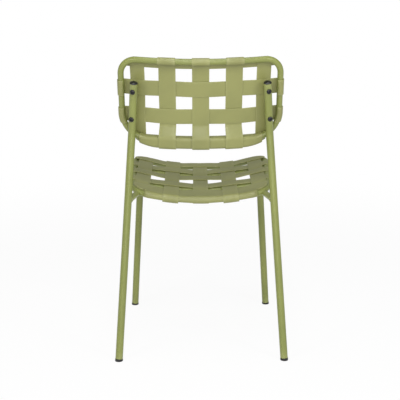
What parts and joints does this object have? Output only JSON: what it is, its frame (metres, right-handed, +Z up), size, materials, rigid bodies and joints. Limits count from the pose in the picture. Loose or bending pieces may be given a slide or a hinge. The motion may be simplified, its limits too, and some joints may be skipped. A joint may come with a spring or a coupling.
{
  "type": "stacking chair",
  "caption": "Armless outdoor stacking chair: bent steel tube legs, dished seat and curved backrest woven from interlaced flat metal strips, painted olive green.",
  "frame": {"origin": "middle of the chair's box in X and Y, on the floor", "axes": "+Z up, the sitter faces -Y, +X towards the sitter's left"},
  "size_m": [0.4668, 0.4938, 0.8144],
  "materials": {
    "green_strip": "olive green powder coat, fine texture, satin",
    "green_tube": "olive green powder coat, fine texture, satin",
    "black_plastic": "moulded black plastic, matt",
    "black_steel": "blackened steel fasteners, satin"
  },
  "bodies": {
    "root": {"back_bolt_lower_left": "black_steel", "back_bolt_lower_right": "black_steel", "back_bolt_upper_left": "black_steel", "back_bolt_upper_right": "black_steel", "back_bottom_band": "green_strip", "back_cross_strip_1": "green_strip", "back_cross_strip_2": "green_strip", "back_frame": "green_tube", "back_nut_lower_left": "black_steel", "back_nut_lower_right": "black_steel", "back_nut_upper_left": "black_steel", "back_nut_upper_right": "black_steel", "back_spacer_lower_left": "green_tube", "back_spacer_lower_right": "green_tube", "back_spacer_upper_left": "green_tube", "back_spacer_upper_right": "green_tube", "back_top_band": "green_strip", "back_upright_strip_1": "green_strip", "back_upright_strip_2": "green_strip", "back_upright_strip_3": "green_strip", "back_upright_strip_4": "green_strip", "back_upright_strip_5": "green_strip", "front_foot_left": "black_plastic", "front_foot_right": "black_plastic", "front_leg_left": "green_tube", "front_leg_right": "green_tube", "post_cap_left": "black_plastic", "post_cap_right": "black_plastic", "rail_cap_left": "black_plastic", "rail_cap_right": "black_plastic", "rear_foot_left": "black_plastic", "rear_foot_right": "black_plastic", "rear_leg_left": "green_tube", "rear_leg_right": "green_tube", "seat_bar_front": "green_tube", "seat_bar_rear": "green_tube", "seat_cross_strip_1": "green_strip", "seat_cross_strip_2": "green_strip", "seat_cross_strip_3": "green_strip", "seat_cross_strip_4": "green_strip", "seat_cross_strip_5": "green_strip", "seat_frame": "green_tube", "seat_link_left": "green_tube", "seat_link_right": "green_tube", "seat_long_strip_1": "green_strip", "seat_long_strip_2": "green_strip", "seat_long_strip_3": "green_strip", "seat_long_strip_4": "green_strip", "seat_long_strip_5": "green_strip"}
  },
  "joints": []
}
